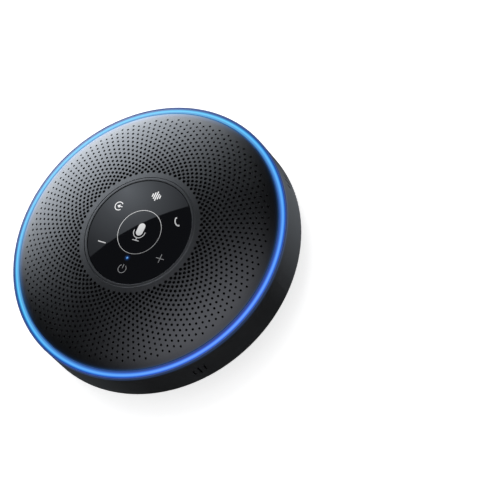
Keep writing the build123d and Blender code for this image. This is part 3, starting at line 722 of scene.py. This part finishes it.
def case_material():
    """Side wall plastic; the light ring's light on the rim next to it is painted in as emission."""
    n = moulded("case_plastic", (0.015, 0.016, 0.0175), rough=0.36, grain=0.0003, depth=0.000015)
    radius, sep = n.radius()
    # painted light: a blue glow from the light ring, painted on the top of the rim as emission
    high = n.span(sep.outputs["Z"], 0.0266, 0.0272)
    spill = n.ramp(n.span(radius, 61.9, 62.6), [(0.0, (0.012, 0.05, 0.30)), (0.35, (0.016, 0.05, 0.22)),
                                                (0.75, (0.016, 0.04, 0.12)), (1.0, (0.006, 0.012, 0.03))])
    mask = n.new("ShaderNodeMix", data_type="RGBA")
    n.link(high, mask.inputs["Factor"])
    mask.inputs[6].default_value = (0, 0, 0, 1)
    n.link(spill, mask.inputs[7])
    n.link(mask.outputs[2], n.bsdf.inputs["Emission Color"])
    n.set(Emission_Strength=1.0)
    return n.mat


MATERIALS = {
    "case_black": case_material(),
    "grille_black": grille_material(),
    "rubber_black": moulded("rubber", (0.012, 0.012, 0.013), rough=0.72, grain=0.0006, depth=0.00003).mat,
    "label_grey": moulded("label_film", (0.10, 0.105, 0.11), rough=0.38, grain=0.0004, depth=0.000004).mat,
    "screw_steel": metal("screw_steel", (0.22, 0.22, 0.23), 0.38),
    "frame_black": moulded("frame_plastic", (0.03, 0.03, 0.032), rough=0.55).mat,
    "board_green": moulded("board_green", (0.012, 0.09, 0.04), rough=0.35, grain=0.0008).mat,
    "board_black": moulded("board_black", (0.015, 0.016, 0.018), rough=0.35, grain=0.0008).mat,
    "can_steel": metal("tinned_steel", (0.62, 0.62, 0.60), 0.30),
    "chip_black": moulded("chip_resin", (0.02, 0.02, 0.021), rough=0.5).mat,
    "can_aluminium": metal("can_aluminium", (0.72, 0.72, 0.73), 0.28, (1, 1, 20)),
    "socket_black": moulded("socket_plastic", (0.012, 0.012, 0.013), rough=0.42).mat,
    "cell_wrap": metal("cell_foil", (0.42, 0.44, 0.50), 0.42),
    "foam_grey": moulded("foam", (0.09, 0.09, 0.09), rough=0.95, grain=0.0005, depth=0.0001).mat,
    "basket_steel": moulded("basket_paint", (0.02, 0.02, 0.02), rough=0.4, grain=0.0005).mat,
    "magnet_steel": metal("zinc_steel", (0.45, 0.45, 0.46), 0.34),
    "magnet_ferrite": moulded("ferrite", (0.04, 0.04, 0.043), rough=0.6, grain=0.0003).mat,
    "coil_copper": metal("coil_copper", (0.62, 0.28, 0.12), 0.32, (1, 1, 60), 300.0),
    "cone_paper": woven("cone_pulp", (0.03, 0.03, 0.03), 0.0008),
    "spider_cloth": woven("spider_cloth", (0.45, 0.32, 0.15), 0.0009),
    "led_white": lit("led_body", (0.55, 0.75, 1.0), 0.6),
    "ring_diffuser": ring_material(),
    "cloth_black": woven("acoustic_weave", (0.0012, 0.0012, 0.0013), 0.0004),
    "mask_white": moulded("mask_plastic", (0.6, 0.6, 0.6), rough=0.5).mat,
    "panel_black": panel_material(),
    "lens_blue": lens_material(),
    "bezel_black": moulded("bezel_plastic", COVER_BLACK, rough=0.31, grain=0.00022, depth=0.000006).mat,
    "ribbon_amber": moulded("ribbon_film", (0.40, 0.17, 0.03), rough=0.35).mat,
}
SLOT_OF = {entry["node"]: entry["material_slot"] for entry in frame["record"]["subparts"]}
for name, obj in NODES.items():
    for slot in obj.material_slots:
        slot.material = MATERIALS[SLOT_OF[name]]

build_grille(MATERIALS["grille_black"])
bezel = lathe("bezel_ring", rounded([(23.84, 35.66), (25.03, 35.66), (25.03, 36.83), (23.84, 36.93)],
                                    (0.03, 0.03, 0.08, 0.04)), MATERIALS["bezel_black"])
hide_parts("panel_bezel")
build_symbols(painted_glow_ink_material())
build_speaker_rings(MATERIALS["rubber_black"], MATERIALS["spider_cloth"])

# ---------------------------------------------------------------- stage
def stage_plane(name, corners, material, **hidden):
    mesh = bpy.data.meshes.new(name)
    mesh.from_pydata([tuple(c) for c in corners], [], [tuple(range(len(corners)))])
    obj = bpy.data.objects.new(name, mesh)
    bpy.context.scene.collection.objects.link(obj)
    obj.data.materials.append(material)
    for key, value in hidden.items():
        setattr(obj, key, value)
    return obj


def emitter(name, colour, strength):
    mat = bpy.data.materials.new(name)
    mat.use_nodes = True
    tree = mat.node_tree
    tree.nodes.clear()
    out = tree.nodes.new("ShaderNodeOutputMaterial")
    em = tree.nodes.new("ShaderNodeEmission")
    em.inputs["Color"].default_value = (*colour, 1)
    em.inputs["Strength"].default_value = strength
    tree.links.new(em.outputs[0], out.inputs[0])
    return mat, tree, em


floor_nodes = Nodes("floor_paper")
floor_nodes.bsdf.inputs["Base Color"].default_value = (0.86, 0.865, 0.875, 1)
floor_nodes.set(Roughness=0.9, Emission_Color=(1, 1, 1, 1), Emission_Strength=0.7)
# seen from below, the floor is clear, so that the underside can be looked at
floor_out = floor_nodes.tree.nodes["Material Output"]
floor_side = floor_nodes.new("ShaderNodeNewGeometry")
floor_mix = floor_nodes.new("ShaderNodeMixShader")
floor_clear = floor_nodes.new("ShaderNodeBsdfTransparent")
floor_nodes.link(floor_side.outputs["Backfacing"], floor_mix.inputs[0])
floor_nodes.link(floor_nodes.bsdf.outputs[0], floor_mix.inputs[1])
floor_nodes.link(floor_clear.outputs[0], floor_mix.inputs[2])
floor_nodes.link(floor_mix.outputs[0], floor_out.inputs["Surface"])
FLOOR = 4.0
stage_plane("floor", [(-FLOOR, -FLOOR, 0), (FLOOR, -FLOOR, 0), (FLOOR, FLOOR, 0), (-FLOOR, FLOOR, 0)],
            floor_nodes.mat, visible_glossy=False)


def facing(azimuth, elevation):
    """The direction out to a point seen at that angle, and the level and rising directions across it."""
    a, e = math.radians(azimuth), math.radians(elevation)
    out = Vector((math.cos(e) * math.cos(a), math.cos(e) * math.sin(a), math.sin(e)))
    side = Vector((-math.sin(a), math.cos(a), 0))
    return out, side, out.cross(side)


def glow_card(name, azimuth, elevation, distance, outline, centre, reach, stops, colour):
    """A glowing card that only gloss sees, facing the part from that direction.

    outline, centre and reach are (across, up) metres on the card; the glow fades by the stops from
    the centre (0) to the reach (1)."""
    out, side, rise = facing(azimuth, elevation)
    middle = Vector((0, 0, 0.035)) + out * distance
    mat, tree, em = emitter(name + "_glow", colour, 1.0)
    place = tree.nodes.new("ShaderNodeNewGeometry")
    squares = []
    for axis, mid, far in ((side, centre[0], reach[0]), (rise, centre[1], reach[1])):
        dot = tree.nodes.new("ShaderNodeVectorMath")
        dot.operation = "DOT_PRODUCT"
        dot.inputs[1].default_value = axis / far
        tree.links.new(place.outputs["Position"], dot.inputs[0])
        less = tree.nodes.new("ShaderNodeMath")
        less.operation = "SUBTRACT"
        less.inputs[1].default_value = (middle.dot(axis) + mid) / far
        tree.links.new(dot.outputs["Value"], less.inputs[0])
        square = tree.nodes.new("ShaderNodeMath")
        square.operation = "MULTIPLY"
        tree.links.new(less.outputs[0], square.inputs[0])
        tree.links.new(less.outputs[0], square.inputs[1])
        squares.append(square.outputs[0])
    total = tree.nodes.new("ShaderNodeMath")
    total.operation = "ADD"
    root = tree.nodes.new("ShaderNodeMath")
    root.operation = "SQRT"
    for i, square in enumerate(squares):
        tree.links.new(square, total.inputs[i])
    tree.links.new(total.outputs[0], root.inputs[0])
    ramp = tree.nodes.new("ShaderNodeValToRGB")
    elements = ramp.color_ramp.elements
    while len(elements) < len(stops):
        elements.new(0.5)
    peak = max(level for _, level in stops)
    for element, (position, level) in zip(elements, stops):
        element.position = position
        element.color = (level / peak, level / peak, level / peak, 1)
    tree.links.new(root.outputs[0], ramp.inputs["Fac"])
    strength = tree.nodes.new("ShaderNodeMath")
    strength.operation = "MULTIPLY"
    strength.inputs[1].default_value = peak
    tree.links.new(ramp.outputs["Color"], strength.inputs[0])
    tree.links.new(strength.outputs[0], em.inputs["Strength"])
    corners = [middle + side * u + rise * v for u, v in outline]
    return stage_plane(name, corners, mat, visible_camera=False, visible_diffuse=False,
                       visible_shadow=False, visible_transmission=False, visible_volume_scatter=False)


def box_outline(left, right, low, high):
    return [(left, low), (right, low), (right, high), (left, high)]


# key: a wide soft window low on the far left, brightest near its foot
glow_card("card_key", 147, 20, 0.9, box_outline(-0.62, 0.62, -0.42, 0.49), (0, -0.20), (0.72, 0.78),
          [(0.0, 10.5), (0.35, 8.6), (0.6, 5.0), (0.8, 2.2), (1.0, 0.0)], (0.85, 0.915, 1.0))
# top: a dimmer long window overhead
glow_card("card_top", -31, 84, 0.9, box_outline(-0.75, 0.65, -0.5, 0.5), (-0.10, 0), (0.65, 0.5),
          [(0.0, 3.4), (0.4, 2.7), (0.7, 1.2), (1.0, 0.0)], (0.87, 0.90, 1.0))
# panel: its curved lower edge is what draws the diagonal across the glossy panel
edge_u = [-0.07 + 0.01 * k for k in range(18)]
edge_line = [(u, -0.0140 - 0.357 * u + 4.18 * u * u) for u in edge_u]
glow_card("card_panel", 152.9, 55.3, 0.5, edge_line + [(0.1, -0.075), (-0.07, -0.075)],
          (0, -0.036), (0.05, 0.05), [(0.0, 2.8), (0.36, 1.35), (0.72, 0.55), (1.0, 0.3)],
          (0.84, 0.91, 1.0))
# wall: a weak light from low on the right
glow_card("card_wall", 74, -55, 0.5, box_outline(-0.25, 0.25, -0.2, 0.2), (0, 0), (0.27, 0.27),
          [(0.0, 0.62), (0.6, 0.5), (1.0, 0.0)], (0.85, 0.92, 1.0))
glow_card("card_wall_left", -160, -50, 0.5, box_outline(-0.25, 0.25, -0.2, 0.2), (0, 0), (0.27, 0.27),
          [(0.0, 0.12), (0.6, 0.1), (1.0, 0.0)], (0.85, 0.92, 1.0))


def area_light(name, location, target, size, power):
    data = bpy.data.lights.new(name, "AREA")
    data.shape = "DISK"
    data.size = size
    data.energy = power
    obj = bpy.data.objects.new(name, data)
    obj.location = location
    obj.rotation_euler = (Vector(target) - Vector(location)).to_track_quat("-Z", "Y").to_euler()
    obj.visible_glossy = False
    obj.visible_camera = False
    bpy.context.scene.collection.objects.link(obj)
    return obj


area_light("soft_top", (-0.5, 0.6, 1.6), (0, 0, 0), 1.4, 12.0)

world = bpy.data.worlds.new("studio")
bpy.context.scene.world = world
world.use_nodes = True
world.node_tree.nodes["Background"].inputs["Color"].default_value = (1, 1, 1, 1)
world.node_tree.nodes["Background"].inputs["Strength"].default_value = 0.45
world.cycles_visibility.glossy = False

# ---------------------------------------------------------------- camera
# the part is left of the middle of the picture, so the camera doesn't look straight at it
EYE_DISTANCE = 1.30981
EYE_AZIMUTH, EYE_ELEVATION = -24.9671, 53.8647
LOOK_AZIMUTH, LOOK_ELEVATION, ROLL = -27.1134, 55.2721, math.radians(-42.2618)
eye = facing(EYE_AZIMUTH, EYE_ELEVATION)[0] * EYE_DISTANCE + Vector((0, 0, LED_Z * MM))
back, level, rise = facing(LOOK_AZIMUTH, LOOK_ELEVATION)
right = level * math.cos(ROLL) + rise * math.sin(ROLL)
up = back.cross(right)
camera_data = bpy.data.cameras.new("camera")
camera_data.sensor_width = 36.0
camera_data.lens = 226.479
camera_data.clip_end = 50.0
camera = bpy.data.objects.new("camera", camera_data)
camera.matrix_world = Matrix(((right.x, up.x, back.x, eye.x), (right.y, up.y, back.y, eye.y),
                              (right.z, up.z, back.z, eye.z), (0, 0, 0, 1)))
bpy.context.scene.collection.objects.link(camera)
bpy.context.scene.camera = camera
bpy.context.scene.view_settings.view_transform = "Standard"
